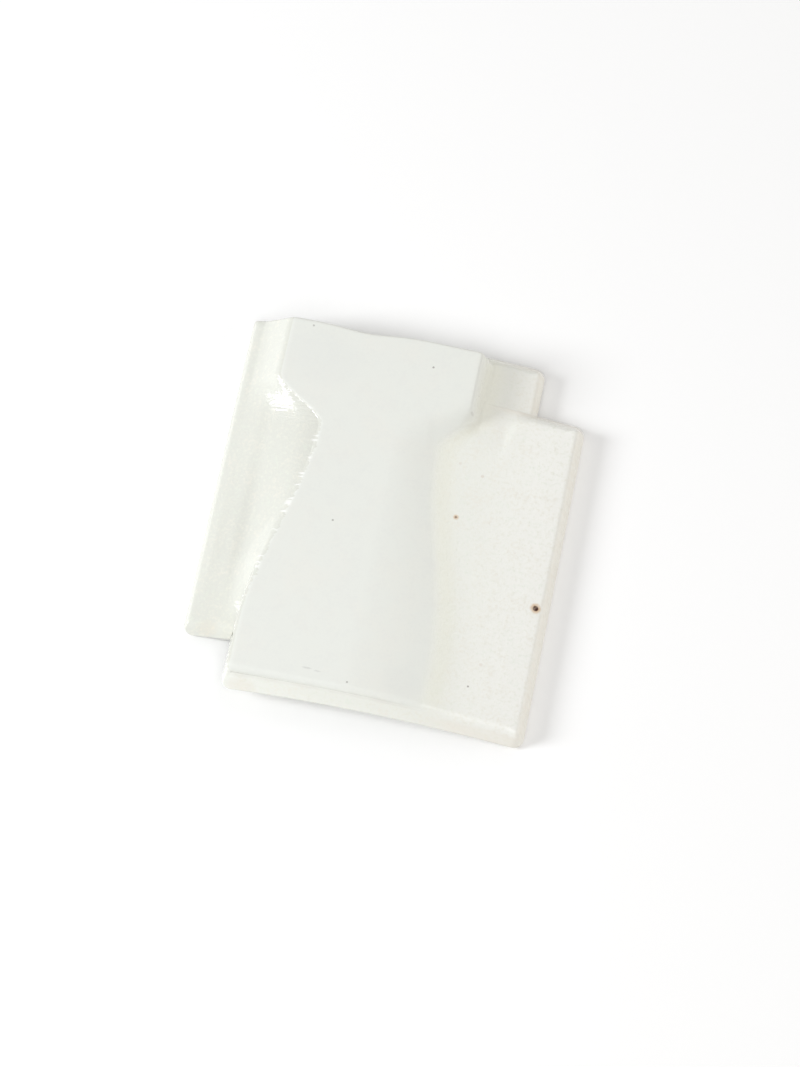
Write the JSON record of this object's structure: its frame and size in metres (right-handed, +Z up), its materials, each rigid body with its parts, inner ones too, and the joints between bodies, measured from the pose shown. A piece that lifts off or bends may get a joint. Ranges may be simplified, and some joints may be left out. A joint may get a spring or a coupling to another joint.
{
  "type": "chopstick rest",
  "caption": "Porcelain chopstick rest in the outline of overlapping cards, bent into a shallow arch, with a waisted bare foot band and a hollow for the sticks.",
  "frame": {"origin": "bottom centre of the bounding box, on the table", "axes": "+Z up with the foot side up, as in the picture; +X to the right across the sticks; +Y to the rear along the sticks"},
  "size_m": [0.0454, 0.0518, 0.0064],
  "materials": {
    "glazed_porcelain": "glossy warm white glaze",
    "bare_porcelain": "smooth dull bare porcelain"
  },
  "bodies": {
    "root": {"front_sheet": "glazed_porcelain", "back_sheet": "glazed_porcelain", "foot_band": "bare_porcelain"}
  },
  "joints": []
}
